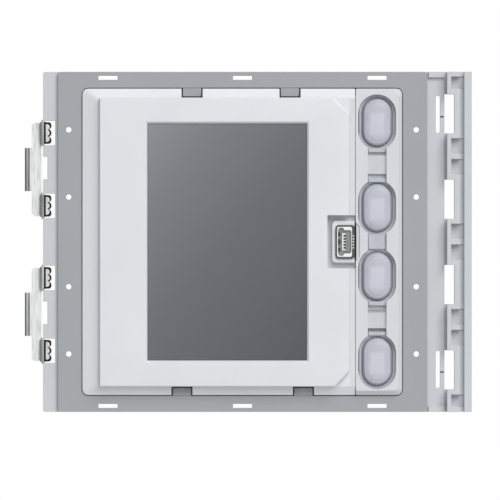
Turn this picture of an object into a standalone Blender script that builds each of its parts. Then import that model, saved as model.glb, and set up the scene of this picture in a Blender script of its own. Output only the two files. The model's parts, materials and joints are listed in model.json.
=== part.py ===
"""Display module of a video door-entry panel, front cover off.

The module is a moulded mounting frame with a rail on its right and two sprung latches on its left.
The frame carries a face plate, a white front with a portrait display, a USB socket and four silicone
keys, and a rear case with the electronics. Dimensions are millimetres, turned into Blender's metres as
each mesh is made. The origin is the middle of the frame's seating plane, +Z is up and the front faces -Y.
"""

import math

import bmesh
import bpy
from mathutils import Matrix, Vector

MM = 0.001
GAP = 0.3
THROUGH = (-10, 5)  # depths of a cutter that goes right through the front mouldings

# Frame and face plate
FRAME_LEFT = -53.4
FRAME_RIGHT = 61.3
FRAME_HALF_HEIGHT = 45.5
FRAME_CORNER = 0.6
FLANGE_FRONT = -2.2
PLATE_HALF_WIDTH = 49.4
PLATE_FRONT = -3.3
PLATE_BACK = FLANGE_FRONT - GAP
OPENING_LEFT = -43.05
OPENING_RIGHT = 42.9
OPENING_HALF_HEIGHT = 41.2
OPENING_CORNER = 1.8
COVER_SLOT = (5.1, 1.05)
COVER_SLOT_X = (-36.0, 0.0, 36.0)
COVER_SLOT_Z = 43.9
PIN_HOLE_RADIUS = 0.75
PIN_HOLE_X = 46.5
PIN_HOLE_Z = (12.0, 30.0)

# Rail down the frame's right side
BAY_PITCH = 22.85
BAY_OPENING_HEIGHT = 10.45
GROOVE = (54.05, 54.7)
LEDGE_RIGHT = 55.8
OPENING_IN_RAIL_RIGHT = 56.65
RAIL_RIGHT = 58.2
OUTER_WALL_LEFT = 59.3
LEDGE_FRONT = -5.5
RAIL_FRONT = -5.2
OUTER_WALL_FRONT = -5.0
POCKET_HEIGHT = 4.15
POCKET_OFFSET = 8.65
POCKET_FLOOR = -3.0
CHANNEL_FLOOR = -3.4
GROOVE_FLOOR = -1.7
FINGER_SLOT = (51.75, 52.85)
FINGER_SLOT_HEIGHT = 10.0
FINGER_SPLIT = (-0.9, -0.5)
FINGER_SPLIT_FLOOR = -0.5

# White front
TRAY_LEFT = -42.85
TRAY_RIGHT = 42.7
TRAY_HALF_HEIGHT = 41.0
TRAY_CORNER = 1.5
JOINT_CORNER = 0.3
JOINT_LINE = 30.2
JOINT_GAP = 0.13
LIP = (-4.1, -3.5)
LIP_WIDTH = 0.8
RIM_FRONT = -3.7
TRAY_FRONT = -5.0
TRAY_SKIN_BACK = -3.4
TRAY_BACK = -0.2
BEZEL_LEFT = -38.2
BEZEL_RIGHT = 28.5
BEZEL_TOP = 38.5
BEZEL_BOTTOM = -38.65
BEZEL_CHAMFER = (3.8, 4.1)
BEZEL_FRONT = -7.0
BEZEL_BACK = TRAY_FRONT - GAP
HOOK_NOTCH_WIDTH = 5.6
HOOK_FRONT = -3.2
HOOK_BACK = -1.4
TOP_HOOK_X = (-13.5, 12.7)
BOTTOM_HOOK_X = (-16.2, 16.3)

# Display
GLASS = (-25.3, 17.1, -31.6, 31.5)
GLASS_FRONT = -6.4
GLASS_THICKNESS = 0.8
CELL = (-28.0, 19.8, -35.8, 34.0)
CELL_FRONT = -5.0
CELL_BACK = -3.6
LCD_FRAME_BACK = -0.6
SHEET = 0.4

# USB socket
USB_X = (24.85, 30.1)
USB_HALF_HEIGHT = 4.55
USB_FRONT = -6.2
USB_WALL = 0.35
USB_CORNER = 0.8
USB_CLEARANCE = 0.25
COLLAR_LEFT = 23.9
COLLAR_RIGHT = 29.95
COLLAR_HALF_HEIGHT = 5.6
COLLAR_CORNER = 1.0
COLLAR_FLANGE = 0.5
RECESS_LEFT = 22.7
RECESS_HALF_HEIGHT = 7.1
RECESS_FLOOR = -3.5
KEY_SIDE_BAY = (31.3, 4.2, 5.2)

# Keys
KEY_X = 36.0
KEY_Z = (32.0, 9.15, -9.15, -32.0)
WELL = (10.05, 14.8)
KEY_BASE = (8.0, 13.0)
KEY_TOP = (6.1, 11.0)
MAT_FRONT = -3.5
MAT_BACK = -0.9
MAT_SKIN = 1.2
CHANNEL_HALF_WIDTH = 2.47
PANEL_Z = (18.1, 23.1)
PANEL_FRONT = -4.2

# Rear case and boards
CASE_HALF_WIDTH = 44.8
CASE_HALF_HEIGHT = 42.8
CASE_BACK = 20.0
CASE_WALL = 1.6
CASE_CHAMFER = 1.2
RATING_PLATE = (-20.0, 20.0, 4.0, 28.0)
RATING_PLATE_THICKNESS = 0.3
EAR_X = 47.6
EAR_Z = 36.0
KEY_BOARD = (-0.6, 0.6)
MAIN_BOARD = (3.6, 5.2)
BOARD_SCREW_X = 38.5
BOARD_SCREW_Z = 36.5
SOCKET_Z = -26.0
SOCKET_X = (-26.0, 26.0)
SOCKET = (15.0, 7.4)
SOCKET_CAVITY = (12.6, 5.0, 8.0)
PLUG_PITCH = 2.9

# Latches
LATCH_Z = (19.4, -19.4)
PIVOT_X = -53.45
PIVOT_Y = -1.9
PIVOT_RADIUS = 0.4
PIVOT_SEAT = 0.3
KNUCKLE_INNER = 0.52
KNUCKLE_OUTER = 0.8
KNUCKLE_OFFSET = 9.75
KNUCKLE_HEIGHT = 5.9
APERTURE_HEIGHT = 6.5
APERTURE_RIGHT = -50.2
LATCH_HALF_HEIGHT = 12.55
LATCH_BEND = -2.7
LATCH_EDGE = -3.05
LIP_HALF_HEIGHT = 5.8
LIP_CENTRE = (-4.2, 2.5)
LIP_RADIUS = 0.7


# ---------------------------------------------------------------- outlines and solids


def rectangle(x0, x1, z0, z1):
    return [(x0, z0), (x1, z0), (x1, z1), (x0, z1)]


def rounded(x0, x1, z0, z1, radius, steps=5, right_radius=None):
    """A rectangle with round corners, without the doubled point where two quarter circles meet."""
    right = radius if right_radius is None else right_radius
    centres = (
        (x1 - right, z1 - right, right, 0),
        (x0 + radius, z1 - radius, radius, 90),
        (x0 + radius, z0 + radius, radius, 180),
        (x1 - right, z0 + right, right, 270),
    )
    points = []
    for centre_x, centre_z, size, start in centres:
        for step in range(steps + 1):
            angle = math.radians(start + 90 * step / steps)
            point = (centre_x + size * math.cos(angle), centre_z + size * math.sin(angle))
            if not points or math.dist(point, points[-1]) > 0.001:
                points.append(point)
    if math.dist(points[0], points[-1]) < 0.001:
        points.pop()
    return points


def oval(x, z, width, height, steps=8):
    half_w, half_h = width / 2, height / 2
    return rounded(x - half_w, x + half_w, z - half_h, z + half_h, half_w, steps)


def circle(x, z, radius, sides=16):
    angles = (2 * math.pi * side / sides for side in range(sides))
    return [(x + radius * math.cos(angle), z + radius * math.sin(angle)) for angle in angles]


def bent_strip(centre_line, thickness):
    """The outline of a sheet bent along a line of points, with mitred corners."""
    points = [Vector(point) for point in centre_line]
    runs = [(after - before).normalized() for before, after in zip(points, points[1:])]
    left, right = [], []
    for index, point in enumerate(points):
        leaving = runs[min(index, len(runs) - 1)]
        along = (runs[max(index - 1, 0)] + leaving).normalized()
        side = Vector((-along.y, along.x)) * (thickness / 2 / along.dot(leaving))
        left.append(tuple(point + side))
        right.append(tuple(point - side))
    return left + right[::-1]


PLACE = {
    "X": lambda a, b, t: (t, a, b),
    "Y": lambda a, b, t: (a, t, b),
    "Z": lambda a, b, t: (a, b, t),
}


def prism(outline, low, high, axis="Y"):
    """An outline pushed from low to high along an axis, as two loops of points."""
    place = PLACE[axis]
    return [[place(a, b, level) for a, b in outline] for level in (low, high)]


def loft(*levels):
    """Outlines with equal point counts, each at its own depth y, joined in order."""
    return [[(x, y, z) for x, z in outline] for outline, y in levels]


def box(x0, x1, y0, y1, z0, z1):
    return prism(rectangle(x0, x1, z0, z1), y0, y1)


def mesh_of(name, shapes, smooth=False):
    """One mesh from shapes, each a list of loops that are skinned together and closed at both ends."""
    bm = bmesh.new()
    for loops in shapes:
        rings = [[bm.verts.new(point) for point in loop] for loop in loops]
        for lower, upper in zip(rings, rings[1:]):
            for here in range(len(lower)):
                after = (here + 1) % len(lower)
                bm.faces.new((lower[here], lower[after], upper[after], upper[here]))
        bm.faces.new(rings[0])
        bm.faces.new(rings[-1])
    bmesh.ops.recalc_face_normals(bm, faces=bm.faces[:])
    mesh = bpy.data.meshes.new(name)
    bm.to_mesh(mesh)
    bm.free()
    mesh.transform(Matrix.Scale(MM, 4))
    if smooth:
        mesh.shade_smooth()
        mesh.set_sharp_from_angle(angle=math.radians(35))
    return mesh


def place_mesh(name, mesh, parent=None, location=(0, 0, 0)):
    item = bpy.data.objects.new(name, mesh)
    bpy.context.scene.collection.objects.link(item)
    item.location = [value * MM for value in location]
    item.parent = parent
    return item


def solid(name, shapes, material, smooth=False, parent=None):
    mesh = mesh_of(name, shapes, smooth)
    mesh.materials.append(material)
    return place_mesh(name, mesh, parent)


def modify(owner, operation, label, shapes):
    """Cuts shapes from their owner, or joins them to it, with a hidden helper solid."""
    helper = place_mesh(f"{owner.name}_{label}", mesh_of(f"{owner.name}_{label}", shapes), owner)
    helper.hide_render = True
    helper.display_type = "WIRE"
    boolean = owner.modifiers.new(label, "BOOLEAN")
    boolean.operation = operation
    boolean.object = helper


def cut(owner, label, shapes):
    modify(owner, "DIFFERENCE", label, shapes)


def join(owner, label, shapes):
    modify(owner, "UNION", label, shapes)


def joint_empty(name, location):
    """An empty on a joint's axis, which carries the pieces that move on that joint."""
    empty = place_mesh(name, None, None, location)
    empty.empty_display_size = 0.005
    return empty


def new_material(name, colour, roughness, metallic=0.0):
    material = bpy.data.materials.new(name)
    material.use_nodes = True
    shader = material.node_tree.nodes["Principled BSDF"]
    shader.inputs["Base Color"].default_value = (*colour, 1.0)
    shader.inputs["Roughness"].default_value = roughness
    shader.inputs["Metallic"].default_value = metallic
    return material


# ---------------------------------------------------------------- structure


def front_opening():
    """The opening in the frame and its plate that the white front stands in."""
    half = OPENING_HALF_HEIGHT
    return prism(rounded(OPENING_LEFT, OPENING_RIGHT, -half, half, OPENING_CORNER, 4), *THROUGH)


def cover_slots(clearance):
    """The six slots that take the hooks of a decorative cover."""
    width, height = COVER_SLOT
    half_w, half_h = width / 2 + clearance, height / 2 + clearance
    centres = [(x, side * COVER_SLOT_Z) for x in COVER_SLOT_X for side in (1, -1)]
    return [box(x - half_w, x + half_w, *THROUGH, z - half_h, z + half_h) for x, z in centres]


def pin_holes(clearance):
    """The eight small round holes down the two sides of the face plate."""
    rows = [side * z for z in PIN_HOLE_Z for side in (1, -1)]
    centres = [(side * PIN_HOLE_X, z) for z in rows for side in (1, -1)]
    return [prism(circle(x, z, PIN_HOLE_RADIUS + clearance, 12), *THROUGH) for x, z in centres]


def bay_centres():
    return [BAY_PITCH * step for step in (1.5, 0.5, -0.5, -1.5)]


def rail_cuts():
    """Through openings and shallow pockets of the four bays, and the two spring finger slots."""
    shapes = []
    half = BAY_OPENING_HEIGHT / 2
    for centre in bay_centres():
        shapes.append(box(GROOVE[0], OPENING_IN_RAIL_RIGHT, *THROUGH, centre - half, centre + half))
        for side in (1, -1):
            middle = centre + side * POCKET_OFFSET
            low, high = middle - POCKET_HEIGHT / 2, middle + POCKET_HEIGHT / 2
            high, low = min(high, 44.2), max(low, -44.2)
            shapes.append(box(LEDGE_RIGHT, OUTER_WALL_LEFT, -10, POCKET_FLOOR, low, high))
    return shapes


def finger_places():
    """The middle height of each long slot, beside the first and the last opening."""
    return [bay_centres()[0] - 0.1, bay_centres()[-1] + 0.1]


def finger_slots():
    middle = (FINGER_SLOT[0] + FINGER_SLOT[1]) / 2
    width = FINGER_SLOT[1] - FINGER_SLOT[0]
    return [prism(oval(middle, z, width, FINGER_SLOT_HEIGHT, 4), *THROUGH) for z in finger_places()]


def finger_splits():
    """The split that leaves two spring fingers between each long slot and its opening."""
    left, right = FINGER_SLOT[1] - 0.2, GROOVE[0] + 0.2
    low, high = FINGER_SPLIT
    return [box(left, right, -10, FINGER_SPLIT_FLOOR, z + low, z + high) for z in finger_places()]


def latch_seat_cuts():
    """Apertures behind each latch knuckle and the thumb notch between them."""
    shapes = []
    for latch in LATCH_Z:
        shapes.append(box(-55, FRAME_LEFT + 1.15, *THROUGH, latch - 2.6, latch + 3.4))
        for side in (1, -1):
            middle = latch + side * KNUCKLE_OFFSET
            half = APERTURE_HEIGHT / 2
            shapes.append(box(-55, APERTURE_RIGHT, *THROUGH, middle - half, middle + half))
    return shapes


def pivot_bars():
    """A round bar across the outer edge of each aperture, which a latch knuckle wraps."""
    middles = [latch + side * KNUCKLE_OFFSET for latch in LATCH_Z for side in (1, -1)]
    half = APERTURE_HEIGHT / 2 + PIVOT_SEAT
    outline = circle(PIVOT_X, PIVOT_Y, PIVOT_RADIUS, 12)
    return [prism(outline, middle - half, middle + half, "Z") for middle in middles]


def tray_hooks():
    """Stepped tabs on the face plate's opening, which hold the front tray at its notches."""
    half = HOOK_NOTCH_WIDTH / 2 - GAP
    root = OPENING_HALF_HEIGHT + GAP
    hooks = []
    edges = ((1, TOP_HOOK_X, BEZEL_TOP + 0.1), (-1, BOTTOM_HOOK_X, BEZEL_BOTTOM - 0.1))
    for side, places, notch_end in edges:
        tip, step = notch_end + side * GAP, side * (OPENING_HALF_HEIGHT - GAP)
        outline = [
            (HOOK_FRONT, tip),
            (HOOK_FRONT, side * root),
            (PLATE_BACK, side * root),
            (PLATE_BACK, step),
            (HOOK_BACK, step),
            (HOOK_BACK, tip),
        ]
        hooks += [prism(outline, x - half, x + half, "X") for x in places]
    return hooks


def case_screw_places():
    return [(side * EAR_X, level * EAR_Z) for level in (1, -1) for side in (-1, 1)]


def build_mounting_frame(material):
    height = FRAME_HALF_HEIGHT
    flange = prism(rounded(FRAME_LEFT, FRAME_RIGHT, -height, height, FRAME_CORNER, 3), FLANGE_FRONT, 0)
    frame = solid("mounting_frame", [flange], material)
    ledge = box(GROOVE[1], LEDGE_RIGHT + 0.2, LEDGE_FRONT, -1, -height, height)
    outer_wall = box(OUTER_WALL_LEFT, FRAME_RIGHT, OUTER_WALL_FRONT, -1, -height, height)
    join(frame, "ledge", [ledge, outer_wall])
    join(frame, "rail", [box(LEDGE_RIGHT - 0.2, RAIL_RIGHT, RAIL_FRONT, -0.9, -height, height)])
    channel = box(RAIL_RIGHT - 0.2, OUTER_WALL_LEFT + 0.2, CHANNEL_FLOOR, -0.8, -height, height)
    join(frame, "channel", [channel])
    lugs = [box(PLATE_HALF_WIDTH + 0.4, GROOVE[0], -3.1, -1.5, z, z + 1.5) for z in (44.0, -45.5)]
    join(frame, "lugs", lugs)
    cut(frame, "opening", [front_opening()])
    cut(frame, "groove", [box(GROOVE[0], GROOVE[1], -10, GROOVE_FLOOR, -50, 50)])
    cut(frame, "bays", rail_cuts())
    cut(frame, "finger_slots", finger_slots())
    cut(frame, "finger_splits", finger_splits())
    cut(frame, "cover_slots", cover_slots(0.2) + pin_holes(0.1))
    cut(frame, "latch_seats", latch_seat_cuts())
    join(frame, "pivot_bars", pivot_bars())
    pilots = [prism(circle(x, z, 1.1, 12), -1.8, 5) for x, z in case_screw_places()]
    cut(frame, "screw_pilots", pilots)


def build_face_plate(material):
    height = FRAME_HALF_HEIGHT
    outline = rounded(-PLATE_HALF_WIDTH, PLATE_HALF_WIDTH, -height, height, FRAME_CORNER, 3)
    plate = solid("face_plate", [prism(outline, PLATE_FRONT, PLATE_BACK)], material)
    cut(plate, "opening", [front_opening()])
    cut(plate, "cover_slots", cover_slots(0) + pin_holes(0))
    join(plate, "tray_hooks", tray_hooks())


# ---------------------------------------------------------------- white front


def hook_notches():
    """Notches through the tray's upper and lower edges, one over each hook."""
    half = HOOK_NOTCH_WIDTH / 2
    top = [box(x - half, x + half, *THROUGH, BEZEL_TOP + 0.1, 42) for x in TOP_HOOK_X]
    bottom = [box(x - half, x + half, *THROUGH, -42, BEZEL_BOTTOM - 0.1) for x in BOTTOM_HOOK_X]
    return top + bottom


def bezel_peg_places():
    return [(-32.0, 20.0), (-32.0, -20.0), (24.5, 24.0), (24.5, -24.0)]


def collar_block(margin, low, high, right=COLLAR_RIGHT):
    """The collar's outer shape grown by a margin, round-cornered on the left."""
    height = COLLAR_HALF_HEIGHT + margin
    corner = COLLAR_CORNER + margin
    return prism(rounded(COLLAR_LEFT - margin, right, -height, height, corner, 4, JOINT_CORNER), low, high)


def build_front_tray(material):
    right = JOINT_LINE - JOINT_GAP / 2
    half = TRAY_HALF_HEIGHT
    foot = rounded(TRAY_LEFT, right, -half, half, TRAY_CORNER, 3, JOINT_CORNER)
    crown = rounded(BEZEL_LEFT - 1.0, right, BEZEL_BOTTOM, BEZEL_TOP, 0.5, 3, JOINT_CORNER)
    tray = solid("front_tray", [loft((foot, TRAY_BACK), (foot, RIM_FRONT), (crown, TRAY_FRONT))], material)
    wall = 1.25
    cavity = box(TRAY_LEFT + wall, right - 0.8, TRAY_SKIN_BACK, 5, wall - half, half - wall)
    cut(tray, "cavity", [cavity])
    lip_heights = ((7.0, half - 2), (2 - half, -7.0))
    lips = [box(right - 1.0, right + LIP_WIDTH, *LIP, low, high) for low, high in lip_heights]
    join(tray, "lips", lips)
    well = box(RECESS_LEFT - 0.9, right, RECESS_FLOOR - 0.5, RECESS_FLOOR + 1.0, -8.0, 8.0)
    join(tray, "usb_well", [well])
    recess = box(RECESS_LEFT, 32, -10, RECESS_FLOOR, -RECESS_HALF_HEIGHT, RECESS_HALF_HEIGHT)
    cut(tray, "usb_recess", [recess])
    cut(tray, "usb_passage", [collar_block(GAP - COLLAR_FLANGE, *THROUGH, 32)])
    left, right_edge, low, high = CELL
    cut(tray, "lcd_window", [box(left - 0.6, right_edge + 0.6, *THROUGH, low - 1.7, high + 0.6)])
    pegs = [box(x - 1.3, x + 1.3, -10, 0, z - 1.8, z + 1.8) for x, z in bezel_peg_places()]
    cut(tray, "openings", hook_notches() + pegs)


def build_display_bezel(material):
    chamfer_x, chamfer_z = BEZEL_CHAMFER
    outline = [
        (BEZEL_LEFT, BEZEL_BOTTOM),
        (BEZEL_RIGHT - chamfer_x, BEZEL_BOTTOM),
        (BEZEL_RIGHT, BEZEL_BOTTOM + chamfer_z),
        (BEZEL_RIGHT, BEZEL_TOP - chamfer_z),
        (BEZEL_RIGHT - chamfer_x, BEZEL_TOP),
        (BEZEL_LEFT, BEZEL_TOP),
    ]
    bezel = solid("display_bezel", [prism(outline, BEZEL_FRONT, BEZEL_BACK)], material)
    pegs = [box(x - 1.0, x + 1.0, BEZEL_BACK - 0.5, -2.6, z - 1.5, z + 1.5) for x, z in bezel_peg_places()]
    join(bezel, "pegs", pegs)
    left, right, low, high = GLASS
    window = box(left - GAP, right + GAP, *THROUGH, low - GAP, high + GAP)
    recess = box(RECESS_LEFT, 32, *THROUGH, -RECESS_HALF_HEIGHT, RECESS_HALF_HEIGHT)
    cut(bezel, "window", [window, recess])


def build_key_bezel(material):
    left = JOINT_LINE + JOINT_GAP / 2
    half = TRAY_HALF_HEIGHT
    foot = rounded(left, TRAY_RIGHT, -half, half, JOINT_CORNER, 3, TRAY_CORNER)
    crown = rounded(left, TRAY_RIGHT - 1.0, 1.2 - half, half - 1.2, JOINT_CORNER, 3, 1.0)
    bezel = solid("key_bezel", [loft((foot, TRAY_BACK), (foot, RIM_FRONT), (crown, TRAY_FRONT))], material)
    cut(bezel, "cavity", [box(left + 0.6, TRAY_RIGHT - 0.8, -3.8, 5, 1.0 - half, half - 1.0)])
    cut(bezel, "lip_rebate", [box(left - 1, left + LIP_WIDTH + GAP, LIP[0] - GAP, 5, 1.6 - half, half - 1.6)])
    bosses = [prism(circle(KEY_X, side * sum(PANEL_Z) / 2, 2.0, 16), -4.0, -0.9) for side in (1, -1)]
    join(bezel, "bosses", bosses)
    wells = [prism(oval(KEY_X, z, *WELL), -10, -3.0) for z in KEY_Z]
    cut(bezel, "wells", wells)
    low, high = KEY_X - CHANNEL_HALF_WIDTH, KEY_X + CHANNEL_HALF_WIDTH
    channels = [box(low, high, -10, -3.0, -2.5, 2.5)]
    for side in (1, -1):
        near, far = side * PANEL_Z[0], side * PANEL_Z[1]
        channels.append(box(low, high, -10, -3.0, *sorted((near, near - side * 2.2))))
        channels.append(box(low, high, -10, -3.0, *sorted((far, far + side * 2.2))))
    cut(bezel, "channels", channels)
    panels = [box(low, high, -10, PANEL_FRONT, *sorted((side * PANEL_Z[0] - 0.1, side * PANEL_Z[1] + 0.1)))
              for side in (1, -1)]
    cut(bezel, "panels", panels)
    bay_right, bay_inner, bay_outer = KEY_SIDE_BAY
    bay = [(left - 1, -bay_outer), (left, -bay_outer), (bay_right, -bay_inner), (bay_right, bay_inner),
           (left, bay_outer), (left - 1, bay_outer)]
    cut(bezel, "usb_bay", [prism(bay, -10, -4.7)])
    cut(bezel, "usb_notch", [box(30, USB_X[1] + GAP, *THROUGH, -4.9, 4.9)])
    pilots = [prism(circle(KEY_X, side * sum(PANEL_Z) / 2, 0.8, 10), -3.2, 5) for side in (1, -1)]
    cut(bezel, "screw_pilots", pilots)


# ---------------------------------------------------------------- display


def build_display(glass, cell_material, diffuser, steel, film, black):
    left, right, low, high = GLASS
    solid("display_glass", [box(left, right, GLASS_FRONT, GLASS_FRONT + GLASS_THICKNESS, low, high)], glass)
    left, right, low, high = CELL
    solid("lcd_cell", [box(left, right, CELL_FRONT, CELL_BACK, low, high)], cell_material)
    inner = (left + 0.1, right - 0.1, CELL_BACK + GAP, LCD_FRAME_BACK - SHEET - GAP, low + 0.1, high - 0.1)
    solid("lcd_backlight", [box(*inner)], diffuser)
    outer = box(left - 0.6, right + 0.6, CELL_BACK + GAP, LCD_FRAME_BACK, low - 0.6, high + 0.6)
    tub = solid("lcd_frame", [outer], steel)
    cut(tub, "inside", [box(left - 0.2, right + 0.2, -8, LCD_FRAME_BACK - SHEET, low - 0.2, high + 0.2)])
    thin, drop, board_side = 0.3, low - 1.4, 2.5
    path = [
        (-4.6, low - 0.3),
        (-4.6, drop + 0.3),
        (-4.3, drop),
        (board_side - 0.6, drop),
        (board_side, drop + 0.6),
        (board_side, low + 1.8),
        (board_side - thin, low + 1.8),
        (board_side - thin, drop + 0.7),
        (board_side - 0.7, drop + thin),
        (-4.2, drop + thin),
        (-4.6 + thin, drop + 0.4),
        (-4.6 + thin, low - 0.3),
    ]
    solid("lcd_flex", [prism(path, -11, 3, "X")], film)
    connector = box(-12, 4, 1.6, MAIN_BOARD[0] - GAP, low + 2.1, low + 5.6)
    solid("lcd_connector", [connector], black)


# ---------------------------------------------------------------- USB socket


def build_usb(steel, black, white):
    left, right = USB_X
    half = USB_HALF_HEIGHT
    back = MAIN_BOARD[0] - GAP
    outline = rounded(left, right, -half, half, USB_CORNER, 4)
    shell = solid("usb_shell", [prism(outline, USB_FRONT, back)], steel)
    wall = USB_WALL
    inside = rounded(left + wall, right - wall, wall - half, half - wall, USB_CORNER - wall, 3)
    cut(shell, "inside", [prism(inside, USB_FRONT - 1, back + 1)])
    room = wall + 0.15
    block = box(left + room, right - room, 0.5, back, room - half, half - room)
    insert = solid("usb_insert", [block], black)
    join(insert, "tongue", [box(27.0, 28.1, -5.4, 0.8, -3.1, 3.1)])
    collar = solid("usb_collar", [collar_block(0, -5.5, RECESS_FLOOR - 0.2)], white)
    join(collar, "skirt", [collar_block(-COLLAR_FLANGE, -5.0, -1.0)])
    left, right, half = left - USB_CLEARANCE, right + USB_CLEARANCE, half + USB_CLEARANCE
    passage = rounded(left, right, -half, half, USB_CORNER + USB_CLEARANCE, 4)
    cut(collar, "passage", [prism(passage, *THROUGH)])


# ---------------------------------------------------------------- keys


def build_keypad_mat(material):
    left, right = JOINT_LINE + 1.0, TRAY_RIGHT - 1.1
    half = TRAY_HALF_HEIGHT - 1.3
    mat = solid("keypad_mat", [box(left, right, MAT_FRONT, MAT_BACK, -half, half)], material)
    tail_top = -4.3
    low, high = KEY_X - CHANNEL_HALF_WIDTH + 0.2, KEY_X + CHANNEL_HALF_WIDTH - 0.2
    tails = [box(low, high, tail_top, MAT_FRONT + 0.4, -1.9, 1.9)]
    for side in (1, -1):
        tails.append(box(low, high, tail_top, MAT_FRONT + 0.4, *sorted((side * 17.0, side * 16.0))))
        tails.append(box(low, high, tail_top, MAT_FRONT + 0.4, *sorted((side * 24.0, side * 25.0))))
    join(mat, "tails", tails)
    cut(mat, "underside", [box(left + 1, right - 1, MAT_FRONT + MAT_SKIN, 5, 1 - half, half - 1)])
    seats = [prism(oval(KEY_X, z, KEY_BASE[0] + 0.4, KEY_BASE[1] + 0.4), *THROUGH) for z in KEY_Z]
    bosses = [prism(circle(KEY_X, side * sum(PANEL_Z) / 2, 2.3, 16), *THROUGH) for side in (1, -1)]
    cut(mat, "holes", seats + bosses)


def build_keys(rubber, carbon):
    """Four alike keys, each with a conductive pill under its stem, on a slide along Y."""
    base = [oval(0, 0, *KEY_BASE), -3.3]
    shoulder = [oval(0, 0, KEY_BASE[0] - 0.3, KEY_BASE[1] - 0.3), -4.2]
    edge = [oval(0, 0, KEY_TOP[0] + 0.4, KEY_TOP[1] + 0.4), -5.0]
    top = [oval(0, 0, *KEY_TOP), -5.3]
    key_mesh = mesh_of("key", [loft(base, shoulder, edge, top)], smooth=True)
    key_mesh.materials.append(rubber)
    pill_mesh = mesh_of("contact_pill", [prism(circle(0, 0, 1.5), -1.9, -1.5)], smooth=True)
    pill_mesh.materials.append(carbon)
    for number, z in enumerate(KEY_Z, start=1):
        slide = joint_empty(f"key_{number}_slide", (KEY_X, 0, z))
        key = place_mesh(f"key_{number}", key_mesh, slide)
        join(key, "stem", [prism(oval(0, 0, 5.0, 8.0, 4), -3.6, -2.2)])
        place_mesh(f"contact_pill_{number}", pill_mesh, slide)


def build_key_board(board, lamp, steel):
    left, right = JOINT_LINE + 1.0, TRAY_RIGHT - 1.1
    plate = solid("key_board", [box(left, right, *KEY_BOARD, -39.5, 39.5)], board)
    middle = sum(PANEL_Z) / 2
    holes = [prism(circle(KEY_X, side * middle, 1.2, 12), *THROUGH) for side in (1, -1)]
    cut(plate, "screw_holes", holes)
    for number, z in enumerate(KEY_Z, start=1):
        chip = box(KEY_X - 0.8, KEY_X + 0.8, -1.6, KEY_BOARD[0] - 0.15, z + 5.0, z + 5.8)
        solid(f"key_lamp_{number}", [chip], lamp)
    for number, side in enumerate((1, -1), start=1):
        screw(f"key_board_screw_{number}", KEY_X, side * middle, KEY_BOARD[1] + 0.15, 1.7, 0.65, 3.0, steel)


# ---------------------------------------------------------------- fasteners


def screw(name, x, z, seat, head_radius, shank_radius, length, material, direction=1):
    """A pan-head screw with a cross recess. The head stands on seat, on the side that direction points to."""
    head_height = 0.7 * head_radius
    outer = seat + direction * head_height
    levels = [
        (circle(x, z, shank_radius, 10), seat - direction * length),
        (circle(x, z, shank_radius, 10), seat),
        (circle(x, z, head_radius, 10), seat + direction * 0.001),
        (circle(x, z, head_radius, 10), seat + direction * head_height * 0.5),
        (circle(x, z, head_radius * 0.7, 10), outer),
    ]
    item = solid(name, [loft(*levels)], material, smooth=True)
    arm, half = head_radius * 0.5, head_radius * 0.12
    floor, above = sorted((outer - direction * head_height * 0.5, outer + direction))
    cut(item, "slot", [box(x - arm, x + arm, floor, above, z - half, z + half)])
    cut(item, "cross_slot", [box(x - half, x + half, floor, above, z - arm, z + arm)])


# ---------------------------------------------------------------- rear case and main board


def board_screw_places():
    return [(side * BOARD_SCREW_X, level * BOARD_SCREW_Z) for level in (1, -1) for side in (-1, 1)]


def build_rear_case(material, steel, label):
    wide, high, front = CASE_HALF_WIDTH, CASE_HALF_HEIGHT, GAP
    edge = CASE_CHAMFER
    outline = rounded(-wide, wide, -high, high, 2.5, 4)
    back_outline = rounded(edge - wide, wide - edge, edge - high, high - edge, 2.5 - edge, 4)
    shape = loft((outline, front), (outline, CASE_BACK - edge), (back_outline, CASE_BACK))
    case = solid("rear_case", [shape], material)
    ears = [prism(oval(x, z, 6.4, 6.4, 6), front, 2.4) for x, z in case_screw_places()]
    bridges = [
        box(*sorted((x, side * (wide - 1))), front + 0.01, 2.39, z - 3.1, z + 3.1)
        for x, z in case_screw_places()
        for side in ((1 if x > 0 else -1),)
    ]
    join(case, "ears", ears)
    join(case, "ear_bridges", bridges)
    inside = rounded(CASE_WALL - wide, wide - CASE_WALL, CASE_WALL - high, high - CASE_WALL, 1.2, 3)
    cut(case, "inside", [prism(inside, -5, CASE_BACK - CASE_WALL)])
    posts = [prism(circle(x, z, 2.6, 14), 5.5, CASE_BACK - 1) for x, z in board_screw_places()]
    join(case, "posts", posts)
    cut(case, "pilots", [prism(circle(x, z, 0.9, 10), 0, 14) for x, z in board_screw_places()])
    cut(case, "ear_holes", [prism(circle(x, z, 1.6, 12), -5, 5) for x, z in case_screw_places()])
    width, height = SOCKET
    windows = [box(x - width / 2 - 0.4, x + width / 2 + 0.4, 15, 25,
                   SOCKET_Z - height / 2 - 0.4, SOCKET_Z + height / 2 + 0.4) for x in SOCKET_X]
    windows.append(box(-9.4, 9.4, 15, 25, SOCKET_Z - 3.4, SOCKET_Z + 3.4))
    cut(case, "socket_windows", windows)
    left, right, low, top = RATING_PLATE
    seat = CASE_BACK - RATING_PLATE_THICKNESS - 0.1
    cut(case, "plate_recess", [box(left - GAP, right + GAP, seat, 25, low - GAP, top + GAP)])
    for number, (x, z) in enumerate(case_screw_places(), start=1):
        screw(f"case_screw_{number}", x, z, 2.6, 2.5, 0.9, 4.0, steel)
    for number, (x, z) in enumerate(board_screw_places(), start=1):
        screw(f"board_screw_{number}", x, z, MAIN_BOARD[0] - 0.2, 2.1, 0.7, 8.0, steel, direction=-1)
    plate = box(left, right, CASE_BACK - RATING_PLATE_THICKNESS, CASE_BACK, low, top)
    solid("rating_plate", [plate], label)


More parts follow.
